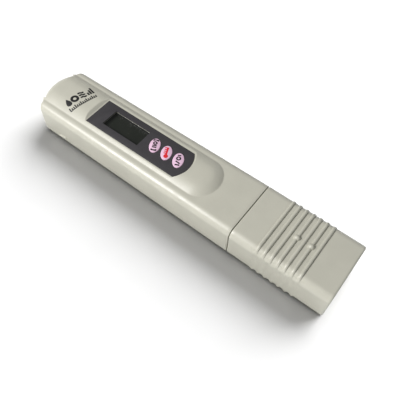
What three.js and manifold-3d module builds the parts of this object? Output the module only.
// Pen-shaped digital water tester, lying on its back with the display up.
// Millimetres. +X runs from the display end to the cap end, +Z is up, the back lies on z = 0.
import * as THREE from 'three';
import { mergeVertices } from 'three/addons/utils/BufferGeometryUtils.js';
import Module from 'manifold-3d';

const wasm = await Module();
wasm.setup();

// Clearances
const GAP = 0.3;
const OVERSHOOT = 1;
const FLUSH_STEP = 0.02;

// Outer body
const LENGTH = 155;
const X_TOP = -LENGTH / 2;
const X_CAP_END = LENGTH / 2;
const X_SEAM = 32.85;
const HALF_WIDTH = 14.66;
const THICKNESS = 17.2;
const CORNER_R = 3.3;
const TOP_END_TAPER = { y: 0.961, z: 0.984 };
const CAP_END_TAPER = { y: 0.986, z: 0.984 };
const TAPER_LENGTH_TOP = X_SEAM - X_TOP;
const TAPER_LENGTH_CAP = X_CAP_END - X_SEAM;
const SEAM_CHAMFER = 0.3;
const END_ARC_R = 16;
const END_ARC_HALF = 10.4;
const RAIL_END = { x: -72.9, y: 12.1, cornerX: -70.9 };
const END_ROUND = 1.1;
const CAP_END_ROUND = 0.8;
const LOCK_TICK = { x: -60.5, z: 4.2, length: 4.2, width: 0.5, tilt: 12, proud: 0.22 };

// Crowned tongue on the front, its round tip and nose, and the flat bed sunk in it for the label
const TONGUE = { halfWidth: 9.95, height: 2.1, power: 2.5, steps: 16, root: 1 };
const TONGUE_TOP = THICKNESS + TONGUE.height;
const TIP = { x: 8.9, length: 8.6, segments: 40 };
const NOSE_R = 5.6;
const NOSE_STEPS = 8;
const NOSE_SEGMENTS = 96;
const BED = { z: 17.85, margin: 0.35, slope: 0.66, halfWidth: 9.2 };

// Overlay label, window and keys
const PANEL_Y = -0.32;
const LABEL = { left: -48.86, corner: -0.36, apex: 2.44, halfWidth: 7.45, thick: 0.4, proud: 0.1 };
const LABEL_ARC_R = (LABEL.halfWidth ** 2 + (LABEL.apex - LABEL.corner) ** 2) / (2 * (LABEL.apex - LABEL.corner));
const LABEL_POCKET_Z = BED.z + LABEL.proud - LABEL.thick - GAP;
const LABEL_Z = LABEL_POCKET_Z + GAP;
const WINDOW = { left: -42.06, right: -22.36, halfWidth: 4.15 };
const LENS_MARGIN = 0.4;
const LENS_THICK = 0.8;
const KEY_X = [-16.2, -9.85, -3.5];
const KEY_Y = 0.12;
const KEY = { a: 3.8, b: 2.42, tilt: 115.5, top: 18.55, round: 0.5, flangeA: 4.3, flangeB: 2.75 };
const KEY_FLANGE_THICK = 1;

// Hollow of the housing
const HOLLOW = { x0: -70.5, x1: 30.6, halfWidth: 12.9, top: 13.3, cornerR: 1.2 };
const LCD_BAY = { x0: -45.1, x1: -19.1, halfWidth: 7.1, top: 16.2 };
const HEAD_BAY = { x0: 25.5, top: 15.3 };

// Rear cover
const COVER_THICK = 1.7;
const COVER_SCREW_X = [-41, 16];
const COVER_SCREW_Y = [-9.9, 9.9];
const BOSS = { r: 2.3, pilotR: 1.3, bottom: 2.2 };
const SCREW = { headR: 1.7, headThick: 1, shankR: 1, length: 7, slotWidth: 0.5, slotDepth: 0.5 };
const REAR_LABEL = { x0: -35, x1: -9, halfWidth: 8, thick: 0.25, lift: 0.12 };
const ADJUST_HOLE_R = 1.9;

// Circuit board and what is on it
const BOARD = { x0: -47.1, x1: 23, halfWidth: 7.2, z0: 7.9, z1: 9.3 };
const ON_BOARD = BOARD.z1 + GAP;
const UNDER_BOARD = BOARD.z0 - GAP;
const BOARD_SCREW_X = [6, 18.5];
const BOARD_BOSS_R = 2.2;
const LCD = { x0: -43.2, x1: -21, halfWidth: 5.9, z0: 14.2, z1: 15.9 };
const LCD_HOLDER = { x0: -44.8, x1: -19.4, halfWidth: 6.8, top: 15.9 };
const ZEBRA = { y: 5, width: 1.6, top: 13.9, inset: 0.8 };
const SWITCH = { half: 2.25, top: 11.1, boreR: 1.3, boreDepth: 1.1, plungerR: 1, plungerTop: 11.7 };
const PLUNGER_BOTTOM = 10.5;
const KEY_BOTTOM = SWITCH.plungerTop + GAP;
const CHIP = { x: -9, half: 4.5, thick: 1.4 };
const CRYSTAL = { x: -22, r: 1.3, length: 6 };
const CAPACITORS = [{ x: -30, y: -3.2 }, { x: -30, y: 3.2 }];
const CAPACITOR = { r: 2, height: 4.2 };
const TRIMMER = { x: 0.5, half: 2.2, height: 3, screwR: 1.4, screwThick: 1, recessR: 1.7, recess: 1 };

// Battery drawer
const DRAWER = { x1: -48.4, halfWidth: 7.1, z0: 2.9, z1: 10.1, floor: 1, notch: 2.2, notchDepth: 1.2 };
const CELL = { r: 5.8, thick: 5.4, button: 0.5, buttonR: 4.4 };
const CELL_X = [-67, -54.9];
const CELL_Z = DRAWER.z0 + DRAWER.floor + GAP;
const LEAF = { thick: 0.4, halfWidth: 3, left: -69, postX: -46.6 };
const SPRING = { x0: -48.1, thick: 0.35, halfWidth: 2.5, bottom: 4, bump: 0.9 };

// Sensor head, probes and seal
const HEAD = { x0: 26, flange: 4.3, halfWidth: 11.9, z0: 2.7, z1: 14.7, x1: 57, cornerR: 2.5 };
const HEAD_MID = (HEAD.z0 + HEAD.z1) / 2;
const WELL = { x0: 49.5, halfWidth: 10.4, halfHeight: 4.5, cornerR: 1.5 };
const PIN = { y: 4.6, r: 0.8, x0: 25.7, x1: 55 };
const PROBE = { r: 1.6, x1: 54.2 };
const SEAL = { x0: 36.3, width: 1.6, depth: 0.9, outer: 0.5 };
const LEADS = [
  { name: 'pin_lead_1', y: -PIN.y, boardY: -5 },
  { name: 'pin_lead_2', y: PIN.y, boardY: 5 },
  { name: 'probe_lead_1', y: -0.7, boardY: -2.6 },
  { name: 'probe_lead_2', y: 0.7, boardY: 2.6 },
];
const LEAD = { r: 0.4, startX: 25.3, bendX: 24.1, endX: 21.6, steps: 10 };

// Cap
const CAP_HOLLOW = { x1: 76, halfWidth: 12.7, z0: 1.9, z1: 15.5, cornerR: 2.9 };
const RIB = { x: 45.2, pitch: 3.097, count: 7, width: 1.5, height: 0.8, round: 0.45, topR: 3.5, backR: 2 };
const DOTS = [3, 5];
const DOT = { r: 1.5, height: 1.25 };

// Finishes
const IVORY = 0xbab8ab;
const IVORY_BACK = 0xb4b2a5;
const CHARCOAL = 0x474649;
const DISPLAY = 0x282a26;
const PINK = 0xddbdd4;
const SCREW_STEEL = 0x9a9a9c;
const CLEAR = 0xd8dcd8;
const HOLDER_WHITE = 0xe4e4e0;
const ZEBRA_BLACK = 0x2c2c30;
const BOARD_GREEN = 0x2f6b3f;
const TINNED_STEEL = 0xb9bcc0;
const PLUNGER_BLACK = 0x1f1f21;
const CHIP_BLACK = 0x1b1b1d;
const CRYSTAL_STEEL = 0xc3c5c8;
const CAPACITOR_GREY = 0x8d9096;
const TRIMMER_BLUE = 0x2a5fa8;
const TRIMMER_BRASS = 0xd9d2a8;
const CELL_STEEL = 0xc9cbce;
const LEAF_STEEL = 0xc7c3b4;
const SPRING_BRASS = 0xc9b27a;
const HEAD_GREY = 0xa9a79b;
const SEAL_BLACK = 0x232325;
const PIN_STEEL = 0xb7babd;
const PROBE_STEEL = 0xd0d2d4;
const WIRE_RED = 0xb23a34;
const WIRE_BLACK = 0x26262a;
const STICKER_WHITE = 0xd9dad8;

function finish(color, roughness, metalness) {
  return new THREE.MeshStandardMaterial({ color, roughness, metalness });
}

function clearFinish(color, roughness, opacity) {
  return new THREE.MeshStandardMaterial({ color, roughness, metalness: 0, transparent: true, opacity });
}

// Turns a geometry into a solid that can be joined and cut.
function solid(geometry) {
  const bare = geometry.index ? geometry.toNonIndexed() : geometry.clone();
  bare.deleteAttribute('normal');
  bare.deleteAttribute('uv');
  const merged = mergeVertices(bare, 1e-4);
  const mesh = new wasm.Mesh({
    numProp: 3,
    vertProperties: new Float32Array(merged.attributes.position.array),
    triVerts: new Uint32Array(merged.index.array),
  });
  return new wasm.Manifold(mesh);
}

function geometryOf(body) {
  const mesh = body.getMesh();
  const geometry = new THREE.BufferGeometry();
  geometry.setAttribute('position', new THREE.BufferAttribute(new Float32Array(mesh.vertProperties), 3));
  geometry.setIndex(new THREE.BufferAttribute(new Uint32Array(mesh.triVerts), 1));
  const flat = geometry.toNonIndexed();
  flat.computeVertexNormals();
  return flat;
}

function node(name, geometry, look) {
  const mesh = new THREE.Mesh(geometry, look);
  mesh.name = name;
  return mesh;
}

function block(x0, x1, y0, y1, z0, z1) {
  const geometry = new THREE.BoxGeometry(x1 - x0, y1 - y0, z1 - z0);
  geometry.translate((x0 + x1) / 2, (y0 + y1) / 2, (z0 + z1) / 2);
  return geometry;
}

function uprightDisc(x, y, z0, z1, r, sides = 24) {
  const geometry = new THREE.CylinderGeometry(r, r, z1 - z0, sides);
  geometry.rotateX(Math.PI / 2);
  geometry.translate(x, y, (z0 + z1) / 2);
  return geometry;
}

function rodAlongX(x0, x1, y, z, r, sides = 18) {
  const geometry = new THREE.CylinderGeometry(r, r, x1 - x0, sides);
  geometry.rotateZ(Math.PI / 2);
  geometry.translate((x0 + x1) / 2, y, z);
  return geometry;
}

// Outline in the Y-Z plane with its own corner radius at the front and at the back.
function section(halfWidth, z0, z1, frontR, backR = frontR) {
  const shape = new THREE.Shape();
  shape.moveTo(-halfWidth + backR, z0);
  shape.lineTo(halfWidth - backR, z0);
  shape.absarc(halfWidth - backR, z0 + backR, backR, -Math.PI / 2, 0, false);
  shape.lineTo(halfWidth, z1 - frontR);
  shape.absarc(halfWidth - frontR, z1 - frontR, frontR, 0, Math.PI / 2, false);
  shape.lineTo(-halfWidth + frontR, z1);
  shape.absarc(-halfWidth + frontR, z1 - frontR, frontR, Math.PI / 2, Math.PI, false);
  shape.lineTo(-halfWidth, z0 + backR);
  shape.absarc(-halfWidth + backR, z0 + backR, backR, Math.PI, Math.PI * 1.5, false);
  return shape;
}

// Runs an outline of the Y-Z plane along X. A round softens both ends.
function alongX(shape, x0, x1, round = 0, segments = 4, roundSteps = 2) {
  const geometry = new THREE.ExtrudeGeometry(shape, {
    depth: x1 - x0 - 2 * round,
    curveSegments: segments,
    bevelEnabled: round > 0,
    bevelThickness: round,
    bevelSize: round,
    bevelOffset: -round,
    bevelSegments: roundSteps,
  });
  const turn = new THREE.Matrix4().makeBasis(
    new THREE.Vector3(0, 1, 0),
    new THREE.Vector3(0, 0, 1),
    new THREE.Vector3(1, 0, 0),
  );
  geometry.applyMatrix4(turn);
  geometry.translate(x0 + round, 0, 0);
  return geometry;
}

// Runs an outline of the X-Y plane up Z. A round softens both ends.
function alongZ(shape, z0, z1, round = 0, segments = 12, roundSteps = 2) {
  const geometry = new THREE.ExtrudeGeometry(shape, {
    depth: z1 - z0 - 2 * round,
    curveSegments: segments,
    bevelEnabled: round > 0,
    bevelThickness: round,
    bevelSize: round,
    bevelOffset: -round,
    bevelSegments: roundSteps,
  });
  geometry.translate(0, 0, z0 + round);
  return geometry;
}

// Runs an outline of the X-Z plane across Y, centred on y.
function acrossY(points, halfWidth, y = 0) {
  const shape = new THREE.Shape(points.map(([x, z]) => new THREE.Vector2(x, z)));
  const geometry = new THREE.ExtrudeGeometry(shape, { depth: 2 * halfWidth, bevelEnabled: false });
  geometry.rotateX(Math.PI / 2);
  geometry.translate(0, y + halfWidth, 0);
  return geometry;
}

// The body is widest and thickest at the seam and draws in slightly towards both ends.
function taper(geometry, narrows = true) {
  const position = geometry.attributes.position;
  for (let i = 0; i < position.count; i += 1) {
    const x = position.getX(i);
    const towardsTop = x < X_SEAM;
    const end = towardsTop ? TOP_END_TAPER : CAP_END_TAPER;
    const run = towardsTop ? TAPER_LENGTH_TOP : TAPER_LENGTH_CAP;
    const share = Math.abs(x - X_SEAM) / run;
    if (narrows) {
      position.setY(i, position.getY(i) * (1 + (end.y - 1) * share));
    }
    position.setZ(i, position.getZ(i) * (1 + (end.z - 1) * share));
  }
  return geometry;
}

function outerSection() {
  return section(HALF_WIDTH, 0, THICKNESS, CORNER_R);
}

// Plan outline of the display end: a shallow arc between two rounded rail ends.
function endOutline() {
  const arcX = X_TOP + END_ARC_R;
  const half = Math.asin(END_ARC_HALF / END_ARC_R);
  const side = HALF_WIDTH + OVERSHOOT;
  const railSide = HALF_WIDTH * TOP_END_TAPER.y + FLUSH_STEP;
  const shape = new THREE.Shape();
  shape.moveTo(X_SEAM + OVERSHOOT, -side);
  shape.lineTo(X_SEAM + OVERSHOOT, side);
  shape.lineTo(RAIL_END.cornerX, side);
  shape.lineTo(RAIL_END.cornerX, railSide);
  shape.quadraticCurveTo(RAIL_END.x, railSide, RAIL_END.x, RAIL_END.y);
  shape.absarc(arcX, 0, END_ARC_R, Math.PI - half, Math.PI + half, false);
  shape.lineTo(RAIL_END.x, -RAIL_END.y);
  shape.quadraticCurveTo(RAIL_END.x, -railSide, RAIL_END.cornerX, -railSide);
  shape.lineTo(RAIL_END.cornerX, -side);
  return shape;
}

function endBody() {
  const roomy = THICKNESS + FLUSH_STEP;
  return solid(alongZ(endOutline(), -FLUSH_STEP, roomy, END_ROUND, 6, 3));
}

// Height of the tongue's crown above the rails, at a share of the way from the middle to the side.
function crownHeight(share) {
  return TONGUE.height * (1 - Math.abs(share) ** TONGUE.power);
}

function tongue() {
  const root = THICKNESS - TONGUE.root;
  const across = [new THREE.Vector2(TONGUE.halfWidth, root)];
  for (let i = 0; i <= TONGUE.steps; i += 1) {
    const share = Math.sin((0.5 - i / TONGUE.steps) * Math.PI);
    across.push(new THREE.Vector2(share * TONGUE.halfWidth, THICKNESS + crownHeight(share)));
  }
  across.push(new THREE.Vector2(-TONGUE.halfWidth, root));
  const straight = alongX(new THREE.Shape(across), X_TOP - OVERSHOOT, TIP.x);

  const half = TONGUE.steps / 2;
  const profile = [new THREE.Vector2(0, root), new THREE.Vector2(TONGUE.halfWidth, root)];
  for (let i = half; i >= 0; i -= 1) {
    const share = Math.sin((i / half) * (Math.PI / 2));
    profile.push(new THREE.Vector2(share * TONGUE.halfWidth, THICKNESS + crownHeight(share)));
  }
  const tip = new THREE.LatheGeometry(profile, TIP.segments);
  tip.rotateX(Math.PI / 2);
  tip.scale(TIP.length / TONGUE.halfWidth, 1, 1);
  tip.translate(TIP.x, 0, 0);
  return solid(taper(straight, false)).add(solid(taper(tip, false)));
}

// What is cut away above the tongue's rounded nose.
function noseCutter() {
  const top = TONGUE_TOP * TOP_END_TAPER.z;
  const low = top - NOSE_R;
  const profile = [new THREE.Vector2(0, low - OVERSHOOT), new THREE.Vector2(END_ARC_R, low - OVERSHOOT)];
  for (let i = 0; i <= NOSE_STEPS; i += 1) {
    const angle = (i / NOSE_STEPS) * (Math.PI / 2);
    const r = END_ARC_R - NOSE_R * (1 - Math.cos(angle));
    profile.push(new THREE.Vector2(r, low + NOSE_R * Math.sin(angle)));
  }
  profile.push(new THREE.Vector2(0, top));
  const nose = new THREE.LatheGeometry(profile, NOSE_SEGMENTS);
  nose.rotateX(Math.PI / 2);
  nose.translate(X_TOP + END_ARC_R, 0, 0);
  const side = TONGUE.halfWidth;
  const zone = block(X_TOP - OVERSHOOT, X_TOP + NOSE_R + NOSE_R, -side, side, low, top + OVERSHOOT);
  return solid(zone).subtract(solid(nose));
}

// What is cut out of the crown for the flat bed: a gentle slope at the display end, steep elsewhere.
function bedCutter() {
  const top = TONGUE_TOP + OVERSHOOT;
  const left = LABEL.left - BED.margin;
  const run = (top - BED.z) / BED.slope;
  const centre = LABEL.apex - LABEL_ARC_R;
  const r = LABEL_ARC_R + BED.margin;
  const corner = centre + Math.sqrt(r * r - BED.halfWidth ** 2);
  const sloped = acrossY(
    [[left, BED.z], [centre + r + OVERSHOOT, BED.z], [centre + r + OVERSHOOT, top], [left - run, top]],
    TONGUE.halfWidth + OVERSHOOT,
  );
  const outline = panelOutline(left - run - OVERSHOOT, corner, centre + r, BED.halfWidth, 0);
  return solid(sloped).intersect(solid(alongZ(outline, BED.z - OVERSHOOT, top + OVERSHOOT, 0, 12)));
}

// A plan outline with straight sides and an arc at the cap side.
function panelOutline(left, corner, apex, halfWidth, y) {
  const rise = apex - corner;
  const r = (halfWidth * halfWidth + rise * rise) / (2 * rise);
  const half = Math.asin(halfWidth / r);
  const shape = new THREE.Shape();
  shape.moveTo(left, y - halfWidth);
  shape.lineTo(corner, y - halfWidth);
  shape.absarc(apex - r, y, r, -half, half, false);
  shape.lineTo(left, y + halfWidth);
  return shape;
}

function keyOutline(a, b) {
  const shape = new THREE.Shape();
  shape.absellipse(0, 0, a, b, 0, Math.PI * 2, false, THREE.MathUtils.degToRad(KEY.tilt));
  return shape;
}

function keyHole(x, z0, z1) {
  const hole = alongZ(keyOutline(KEY.a + GAP, KEY.b + GAP), z0, z1);
  hole.translate(x, KEY_Y, 0);
  return solid(hole);
}

function panelHole(x0, x1, halfWidth, z0, z1) {
  return solid(block(x0, x1, PANEL_Y - halfWidth, PANEL_Y + halfWidth, z0, z1));
}

function coverScrewSpots() {
  return COVER_SCREW_X.flatMap((x) => COVER_SCREW_Y.map((y) => ({ x, y })));
}

function hollowBody(x0, z0, z1) {
  const outline = section(HOLLOW.halfWidth, z0, z1, HOLLOW.cornerR);
  return solid(alongX(outline, x0, HOLLOW.x1, 0, 2));
}

function lockTick() {
  const mark = block(-LOCK_TICK.length / 2, LOCK_TICK.length / 2, 0, OVERSHOOT, 0, LOCK_TICK.width);
  mark.rotateY(THREE.MathUtils.degToRad(LOCK_TICK.tilt));
  const share = (X_SEAM - LOCK_TICK.x) / TAPER_LENGTH_TOP;
  const side = HALF_WIDTH * (1 + (TOP_END_TAPER.y - 1) * share);
  mark.translate(LOCK_TICK.x, -side - LOCK_TICK.proud, LOCK_TICK.z);
  return solid(mark);
}

function frontHousing() {
  const outer = solid(taper(alongX(outerSection(), X_TOP - OVERSHOOT, X_SEAM, SEAM_CHAMFER, 3, 1)));
  let body = outer.intersect(endBody());
  body = body.add(lockTick());
  body = body.add(tongue()).subtract(noseCutter()).subtract(bedCutter());
  const hollowFloor = -OVERSHOOT - HOLLOW.cornerR;
  const bayFloor = HOLLOW.top - OVERSHOOT;
  body = body.subtract(hollowBody(HOLLOW.x0, hollowFloor, HOLLOW.top));
  body = body.subtract(hollowBody(HEAD_BAY.x0, COVER_THICK, HEAD_BAY.top));
  body = body.subtract(panelHole(LCD_BAY.x0, LCD_BAY.x1, LCD_BAY.halfWidth, bayFloor, LCD_BAY.top));
  const mouth = section(HEAD.halfWidth + GAP, HEAD.z0 - GAP, HEAD.z1 + GAP, HEAD.cornerR);
  body = body.subtract(solid(alongX(mouth, HOLLOW.x1 - OVERSHOOT, X_SEAM + OVERSHOOT)));
  const drawerSide = DRAWER.halfWidth + GAP;
  const drawerBay = block(
    X_TOP - OVERSHOOT,
    HOLLOW.x0 + OVERSHOOT,
    -drawerSide,
    drawerSide,
    DRAWER.z0 - GAP,
    DRAWER.z1 + GAP,
  );
  body = body.subtract(solid(drawerBay));
  const labelBed = panelOutline(
    LABEL.left - GAP,
    LABEL.corner + GAP,
    LABEL.apex + GAP,
    LABEL.halfWidth + GAP,
    PANEL_Y,
  );
  body = body.subtract(solid(alongZ(labelBed, LABEL_POCKET_Z, TONGUE_TOP, 0, 8)));
  const margin = LENS_MARGIN + GAP;
  body = body.subtract(panelHole(
    WINDOW.left - margin,
    WINDOW.right + margin,
    WINDOW.halfWidth + margin,
    HOLLOW.top,
    TONGUE_TOP,
  ));
  KEY_X.forEach((x) => {
    body = body.subtract(keyHole(x, HOLLOW.top - OVERSHOOT, TONGUE_TOP));
  });
  coverScrewSpots().forEach(({ x, y }) => {
    const post = solid(uprightDisc(x, y, BOSS.bottom, HOLLOW.top + FLUSH_STEP, BOSS.r));
    const pilot = solid(uprightDisc(x, y, BOSS.bottom - OVERSHOOT, BOSS.bottom + SCREW.length, BOSS.pilotR, 16));
    body = body.add(post).subtract(pilot);
  });
  BOARD_SCREW_X.forEach((x) => {
    const post = solid(uprightDisc(x, 0, ON_BOARD, HOLLOW.top + FLUSH_STEP, BOARD_BOSS_R));
    const pilot = solid(uprightDisc(x, 0, ON_BOARD - OVERSHOOT, HOLLOW.top - OVERSHOOT, BOSS.pilotR, 16));
    body = body.add(post).subtract(pilot);
  });
  return node('front_housing', geometryOf(body), finish(IVORY, 0.48, 0));
}

function rearCover() {
  const x0 = HOLLOW.x0 + GAP;
  const x1 = HOLLOW.x1 - GAP;
  const halfWidth = HOLLOW.halfWidth - GAP;
  let plate = solid(block(x0, x1, -halfWidth, halfWidth, 0, COVER_THICK));
  const bed = block(
    REAR_LABEL.x0 - GAP,
    REAR_LABEL.x1 + GAP,
    -REAR_LABEL.halfWidth - GAP,
    REAR_LABEL.halfWidth + GAP,
    -OVERSHOOT,
    REAR_LABEL.lift + REAR_LABEL.thick + GAP,
  );
  plate = plate.subtract(solid(bed));
  coverScrewSpots().forEach(({ x, y }) => {
    const headSeat = uprightDisc(x, y, -OVERSHOOT, SCREW.headThick + 2 * GAP, SCREW.headR + GAP);
    const shankHole = uprightDisc(x, y, 0, COVER_THICK + OVERSHOOT, SCREW.shankR + GAP, 16);
    plate = plate.subtract(solid(headSeat)).subtract(solid(shankHole));
  });
  plate = plate.subtract(solid(uprightDisc(TRIMMER.x, 0, -OVERSHOOT, COVER_THICK + OVERSHOOT, ADJUST_HOLE_R)));
  return node('rear_cover', geometryOf(plate), finish(IVORY_BACK, 0.5, 0));
}

// A countersunk-style screw standing head down, with a cross slot in the head.
function screw(name, x, y, z, length) {
  const profile = [
    new THREE.Vector2(0, 0),
    new THREE.Vector2(SCREW.headR, 0),
    new THREE.Vector2(SCREW.headR, SCREW.headThick),
    new THREE.Vector2(SCREW.shankR, SCREW.headThick),
    new THREE.Vector2(SCREW.shankR, length - SCREW.shankR / 2),
    new THREE.Vector2(SCREW.shankR / 2, length),
    new THREE.Vector2(0, length),
  ];
  const turned = new THREE.LatheGeometry(profile, 18);
  turned.rotateX(Math.PI / 2);
  turned.translate(x, y, z);
  let body = solid(turned);
  const reach = SCREW.headR - GAP;
  const half = SCREW.slotWidth / 2;
  const bottom = z - OVERSHOOT;
  const top = z + SCREW.slotDepth;
  body = body.subtract(solid(block(x - reach, x + reach, y - half, y + half, bottom, top)));
  body = body.subtract(solid(block(x - half, x + half, y - reach, y + reach, bottom, top)));
  return node(name, geometryOf(body), finish(SCREW_STEEL, 0.35, 0.9));
}

function coverScrews() {
  return coverScrewSpots().map(({ x, y }, i) => screw(`cover_screw_${i + 1}`, x, y, GAP, SCREW.length));
}

function boardScrews() {
  const z = UNDER_BOARD - SCREW.headThick;
  const length = HOLLOW.top - OVERSHOOT - GAP - z;
  return BOARD_SCREW_X.map((x, i) => screw(`board_screw_${i + 1}`, x, 0, z, length));
}

function cap() {
  const farX = X_CAP_END + OVERSHOOT;
  const mouthX = X_SEAM + GAP;
  const mouthEnd = solid(taper(alongX(outerSection(), mouthX, farX, SEAM_CHAMFER, 3, 1)));
  const closedEnd = solid(taper(alongX(outerSection(), X_SEAM, X_CAP_END, CAP_END_ROUND, 3, 2)));
  let body = mouthEnd.intersect(closedEnd);
  const ribSection = section(
    HALF_WIDTH - FLUSH_STEP,
    FLUSH_STEP,
    THICKNESS + RIB.height,
    RIB.topR,
    RIB.backR,
  );
  for (let i = 0; i < RIB.count; i += 1) {
    const middle = RIB.x + i * RIB.pitch;
    const rib = alongX(ribSection, middle - RIB.width / 2, middle + RIB.width / 2, RIB.round, 2, 1);
    body = body.add(solid(taper(rib)));
  }
  DOTS.forEach((i) => {
    const dome = new THREE.SphereGeometry(DOT.r, 16, 8);
    dome.scale(1, 1, DOT.height / DOT.r);
    dome.translate(RIB.x + i * RIB.pitch, 0, THICKNESS);
    body = body.add(solid(taper(dome)));
  });
  const hollow = section(CAP_HOLLOW.halfWidth, CAP_HOLLOW.z0, CAP_HOLLOW.z1, CAP_HOLLOW.cornerR);
  body = body.subtract(solid(alongX(hollow, X_SEAM - OVERSHOOT, CAP_HOLLOW.x1)));
  return node('cap', geometryOf(body), finish(IVORY, 0.48, 0));
}

function overlayLabel() {
  const outline = panelOutline(LABEL.left, LABEL.corner, LABEL.apex, LABEL.halfWidth, PANEL_Y);
  const top = LABEL_Z + LABEL.thick;
  let sheet = solid(alongZ(outline, LABEL_Z, top, 0, 8));
  sheet = sheet.subtract(panelHole(
    WINDOW.left,
    WINDOW.right,
    WINDOW.halfWidth,
    LABEL_Z - OVERSHOOT,
    top + OVERSHOOT,
  ));
  KEY_X.forEach((x) => {
    sheet = sheet.subtract(keyHole(x, LABEL_Z - OVERSHOOT, top + OVERSHOOT));
  });
  return node('overlay_label', geometryOf(sheet), finish(CHARCOAL, 0.42, 0));
}

function windowLens() {
  const top = LABEL_Z - GAP;
  const pane = block(
    WINDOW.left - LENS_MARGIN,
    WINDOW.right + LENS_MARGIN,
    PANEL_Y - WINDOW.halfWidth - LENS_MARGIN,
    PANEL_Y + WINDOW.halfWidth + LENS_MARGIN,
    top - LENS_THICK,
    top,
  );
  return node('window_lens', pane, clearFinish(CLEAR, 0.12, 0.25));
}

function lcdPanel() {
  const pane = block(LCD.x0, LCD.x1, PANEL_Y - LCD.halfWidth, PANEL_Y + LCD.halfWidth, LCD.z0, LCD.z1);
  return node('lcd_panel', pane, finish(DISPLAY, 0.25, 0));
}

function lcdHolder() {
  const side = LCD_HOLDER.halfWidth;
  let frame = panelHole(LCD_HOLDER.x0, LCD_HOLDER.x1, side, ON_BOARD, LCD_HOLDER.top);
  frame = frame.subtract(panelHole(
    LCD.x0 - GAP,
    LCD.x1 + GAP,
    LCD.halfWidth + GAP,
    ON_BOARD - OVERSHOOT,
    LCD_HOLDER.top + OVERSHOOT,
  ));
  return node('lcd_holder', geometryOf(frame), finish(HOLDER_WHITE, 0.55, 0));
}

function zebraStrips() {
  return [-1, 1].map((side, i) => {
    const y = PANEL_Y + side * ZEBRA.y;
    const half = ZEBRA.width / 2;
    const strip = block(LCD.x0 + ZEBRA.inset, LCD.x1 - ZEBRA.inset, y - half, y + half, ON_BOARD, ZEBRA.top);
    return node(`zebra_strip_${i + 1}`, strip, finish(ZEBRA_BLACK, 0.8, 0));
  });
}

function circuitBoard() {
  let board = solid(block(BOARD.x0, BOARD.x1, -BOARD.halfWidth, BOARD.halfWidth, BOARD.z0, BOARD.z1));
  BOARD_SCREW_X.forEach((x) => {
    const hole = uprightDisc(x, 0, BOARD.z0 - OVERSHOOT, BOARD.z1 + OVERSHOOT, SCREW.shankR + GAP, 16);
    board = board.subtract(solid(hole));
  });
  return node('circuit_board', geometryOf(board), finish(BOARD_GREEN, 0.5, 0));
}

function key(name, x) {
  const stem = alongZ(keyOutline(KEY.a, KEY.b), KEY_BOTTOM, KEY.top, KEY.round, 14, 3);
  const flange = alongZ(keyOutline(KEY.flangeA, KEY.flangeB), KEY_BOTTOM, KEY_BOTTOM + KEY_FLANGE_THICK);
  const body = solid(stem).add(solid(flange)).translate([x, KEY_Y, 0]);
  return node(name, geometryOf(body), finish(PINK, 0.55, 0));
}

function keys() {
  return ['hold_key', 'temp_key', 'power_key'].map((name, i) => key(name, KEY_X[i]));
}

function switchParts() {
  return KEY_X.flatMap((x, i) => {
    const half = SWITCH.half;
    const bore = uprightDisc(x, KEY_Y, SWITCH.top - SWITCH.boreDepth, SWITCH.top + OVERSHOOT, SWITCH.boreR);
    const base = solid(block(x - half, x + half, KEY_Y - half, KEY_Y + half, ON_BOARD, SWITCH.top));
    const plunger = uprightDisc(x, KEY_Y, PLUNGER_BOTTOM, SWITCH.plungerTop, SWITCH.plungerR, 16);
    return [
      node(`switch_body_${i + 1}`, geometryOf(base.subtract(solid(bore))), finish(TINNED_STEEL, 0.35, 0.8)),
      node(`switch_plunger_${i + 1}`, plunger, finish(PLUNGER_BLACK, 0.6, 0)),
    ];
  });
}

function controllerChip() {
  const half = CHIP.half;
  const chip = block(CHIP.x - half, CHIP.x + half, -half, half, UNDER_BOARD - CHIP.thick, UNDER_BOARD);
  return node('controller_chip', chip, finish(CHIP_BLACK, 0.6, 0));
}

function crystalCan() {
  const z = UNDER_BOARD - CRYSTAL.r;
  const can = rodAlongX(CRYSTAL.x - CRYSTAL.length / 2, CRYSTAL.x + CRYSTAL.length / 2, 0, z, CRYSTAL.r);
  return node('crystal', can, finish(CRYSTAL_STEEL, 0.25, 0.9));
}

function capacitors() {
  return CAPACITORS.map(({ x, y }, i) => {
    const can = uprightDisc(x, y, UNDER_BOARD - CAPACITOR.height, UNDER_BOARD, CAPACITOR.r, 20);
    return node(`capacitor_${i + 1}`, can, finish(CAPACITOR_GREY, 0.3, 0.85));
  });
}

function trimmer() {
  const half = TRIMMER.half;
  const bottom = UNDER_BOARD - TRIMMER.height;
  const base = solid(block(TRIMMER.x - half, TRIMMER.x + half, -half, half, bottom, UNDER_BOARD));
  const recess = uprightDisc(TRIMMER.x, 0, bottom - OVERSHOOT, bottom + TRIMMER.recess, TRIMMER.recessR);
  const top = bottom + TRIMMER.recess - GAP;
  const discBottom = top - TRIMMER.screwThick;
  const disc = solid(uprightDisc(TRIMMER.x, 0, discBottom, top, TRIMMER.screwR));
  const slotHalf = SCREW.slotWidth / 2;
  const reach = TRIMMER.screwR - GAP;
  const slot = block(
    TRIMMER.x - reach,
    TRIMMER.x + reach,
    -slotHalf,
    slotHalf,
    discBottom - OVERSHOOT,
    discBottom + SCREW.slotDepth,
  );
  return [
    node('trimmer_base', geometryOf(base.subtract(solid(recess))), finish(TRIMMER_BLUE, 0.5, 0)),
    node('trimmer_screw', geometryOf(disc.subtract(solid(slot))), finish(TRIMMER_BRASS, 0.35, 0.6)),
  ];
}

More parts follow.
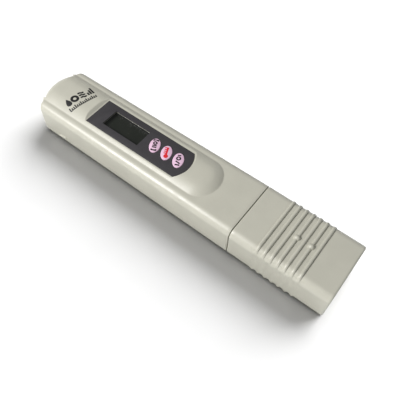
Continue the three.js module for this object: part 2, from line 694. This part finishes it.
function batteryDrawer() {
  const side = DRAWER.halfWidth;
  let tray = solid(block(X_TOP - OVERSHOOT, DRAWER.x1, -side, side, DRAWER.z0, DRAWER.z1));
  tray = tray.intersect(endBody());
  CELL_X.forEach((x) => {
    const seat = uprightDisc(x, 0, CELL_Z - GAP, DRAWER.z1 + OVERSHOOT, CELL.r + GAP, 32);
    tray = tray.subtract(solid(seat));
  });
  const innerSide = SPRING.halfWidth + GAP;
  const floor = CELL_Z - GAP;
  const inner = block(CELL_X[1], DRAWER.x1 + OVERSHOOT, -innerSide, innerSide, floor, DRAWER.z1 + OVERSHOOT);
  tray = tray.subtract(solid(inner));
  const notch = block(
    X_TOP - OVERSHOOT,
    X_TOP + DRAWER.notchDepth,
    -DRAWER.notch,
    DRAWER.notch,
    DRAWER.z0 + DRAWER.floor,
    DRAWER.z0 + DRAWER.floor + DRAWER.notch,
  );
  tray = tray.subtract(solid(notch));
  return node('battery_drawer', geometryOf(tray), finish(IVORY, 0.5, 0));
}

function buttonCells() {
  return CELL_X.map((x, i) => {
    const rim = CELL.thick - CELL.button;
    const profile = [
      new THREE.Vector2(0, 0),
      new THREE.Vector2(CELL.r, 0),
      new THREE.Vector2(CELL.r, rim),
      new THREE.Vector2(CELL.buttonR, rim),
      new THREE.Vector2(CELL.buttonR, CELL.thick),
      new THREE.Vector2(0, CELL.thick),
    ];
    const cell = new THREE.LatheGeometry(profile, 32);
    cell.rotateX(Math.PI / 2);
    cell.translate(x, 0, CELL_Z);
    return node(`button_cell_${i + 1}`, cell, finish(CELL_STEEL, 0.22, 0.95));
  });
}

function batteryLeaf() {
  const bottom = DRAWER.z1 + GAP;
  const top = bottom + LEAF.thick;
  const x1 = LEAF.postX + LEAF.thick;
  const strip = acrossY(
    [[LEAF.left, bottom], [LEAF.postX, bottom], [LEAF.postX, ON_BOARD], [x1, ON_BOARD], [x1, top], [LEAF.left, top]],
    LEAF.halfWidth,
  );
  return node('battery_leaf', strip, finish(LEAF_STEEL, 0.3, 0.9));
}

function batterySpring() {
  const x0 = SPRING.x0;
  const x1 = x0 + SPRING.thick;
  const footX = BOARD.x0 + 3 * SPRING.bump;
  const strip = acrossY(
    [
      [x0, SPRING.bottom],
      [x1, SPRING.bottom],
      [x1, UNDER_BOARD - SPRING.thick],
      [footX, UNDER_BOARD - SPRING.thick],
      [footX, UNDER_BOARD],
      [x0, UNDER_BOARD],
    ],
    SPRING.halfWidth,
  );
  return node('battery_spring', strip, finish(SPRING_BRASS, 0.3, 0.9));
}

function headSection(inset = 0) {
  return section(HEAD.halfWidth - inset, HEAD.z0 + inset, HEAD.z1 - inset, HEAD.cornerR - inset);
}

function sensorHead() {
  const flangeSide = HOLLOW.halfWidth - GAP;
  const flange = section(flangeSide, COVER_THICK + 2 * GAP, HEAD_BAY.top - GAP, HOLLOW.cornerR);
  let body = solid(alongX(flange, HEAD.x0, HEAD.x0 + HEAD.flange));
  body = body.add(solid(alongX(headSection(), HEAD.x0 + OVERSHOOT, HEAD.x1, 2 * GAP, 4, 1)));
  const grooveX0 = SEAL.x0 - GAP;
  const grooveX1 = SEAL.x0 + SEAL.width + GAP;
  const groove = solid(alongX(section(HALF_WIDTH, 0, THICKNESS, CORNER_R), grooveX0, grooveX1))
    .subtract(solid(alongX(headSection(SEAL.depth), grooveX0 - OVERSHOOT, grooveX1 + OVERSHOOT)));
  body = body.subtract(groove);
  const well = section(
    WELL.halfWidth,
    HEAD_MID - WELL.halfHeight,
    HEAD_MID + WELL.halfHeight,
    WELL.cornerR,
  );
  body = body.subtract(solid(alongX(well, WELL.x0, HEAD.x1 + OVERSHOOT)));
  const back = HEAD.x0 - OVERSHOOT;
  const front = WELL.x0 + OVERSHOOT;
  [-PIN.y, PIN.y].forEach((y) => {
    body = body.subtract(solid(rodAlongX(back, front, y, HEAD_MID, PIN.r + GAP)));
  });
  body = body.subtract(solid(rodAlongX(back, front, 0, HEAD_MID, PROBE.r + GAP)));
  return node('sensor_head', geometryOf(body), finish(HEAD_GREY, 0.5, 0));
}

function sealRing() {
  const outer = section(
    HEAD.halfWidth + SEAL.outer,
    HEAD.z0 - SEAL.outer,
    HEAD.z1 + SEAL.outer,
    HEAD.cornerR + SEAL.outer,
  );
  const x1 = SEAL.x0 + SEAL.width;
  const ring = solid(alongX(outer, SEAL.x0, x1))
    .subtract(solid(alongX(headSection(SEAL.depth - GAP), SEAL.x0 - OVERSHOOT, x1 + OVERSHOOT)));
  return node('seal_ring', geometryOf(ring), finish(SEAL_BLACK, 0.75, 0));
}

function electrodePins() {
  return [-PIN.y, PIN.y].map((y, i) => {
    const pin = solid(rodAlongX(PIN.x0, PIN.x1, y, HEAD_MID, PIN.r, 14));
    return node(`electrode_pin_${i + 1}`, geometryOf(pin), finish(PIN_STEEL, 0.25, 1));
  });
}

function thermistorProbe() {
  const straight = PROBE.x1 - PROBE.r;
  const tip = new THREE.SphereGeometry(PROBE.r, 18, 12);
  tip.rotateZ(Math.PI / 2);
  tip.translate(straight, 0, HEAD_MID);
  const body = solid(rodAlongX(PIN.x0, straight, 0, HEAD_MID, PROBE.r)).add(solid(tip));
  return node('thermistor_probe', geometryOf(body), finish(PROBE_STEEL, 0.2, 1));
}

function leads() {
  const wire = new THREE.Shape();
  wire.absarc(0, 0, LEAD.r, 0, Math.PI * 2, false);
  return LEADS.map(({ name, y, boardY }, i) => {
    const route = new THREE.CatmullRomCurve3([
      new THREE.Vector3(LEAD.startX, y, HEAD_MID),
      new THREE.Vector3(LEAD.bendX, (y + boardY) / 2, HEAD_MID + 2 * LEAD.r),
      new THREE.Vector3(LEAD.bendX - 1, boardY, ON_BOARD + 2 * LEAD.r),
      new THREE.Vector3(LEAD.endX, boardY, ON_BOARD + 2 * LEAD.r),
    ]);
    const tube = new THREE.ExtrudeGeometry(wire, { steps: LEAD.steps, curveSegments: 4, extrudePath: route });
    const colour = i % 2 === 0 ? WIRE_RED : WIRE_BLACK;
    return node(name, tube, finish(colour, 0.6, 0));
  });
}

function rearLabel() {
  const side = REAR_LABEL.halfWidth;
  const top = REAR_LABEL.lift + REAR_LABEL.thick;
  const sheet = block(REAR_LABEL.x0, REAR_LABEL.x1, -side, side, REAR_LABEL.lift, top);
  return node('rear_label', sheet, finish(STICKER_WHITE, 0.6, 0));
}

const waterTester = new THREE.Group();
waterTester.name = 'water_tester';
waterTester.add(
  frontHousing(),
  rearCover(),
  ...coverScrews(),
  cap(),
  overlayLabel(),
  windowLens(),
  lcdPanel(),
  lcdHolder(),
  ...zebraStrips(),
  circuitBoard(),
  ...boardScrews(),
  ...keys(),
  ...switchParts(),
  controllerChip(),
  crystalCan(),
  ...capacitors(),
  ...trimmer(),
  batteryDrawer(),
  ...buttonCells(),
  batteryLeaf(),
  batterySpring(),
  sensorHead(),
  sealRing(),
  ...electrodePins(),
  thermistorProbe(),
  ...leads(),
  rearLabel(),
);

export default waterTester;
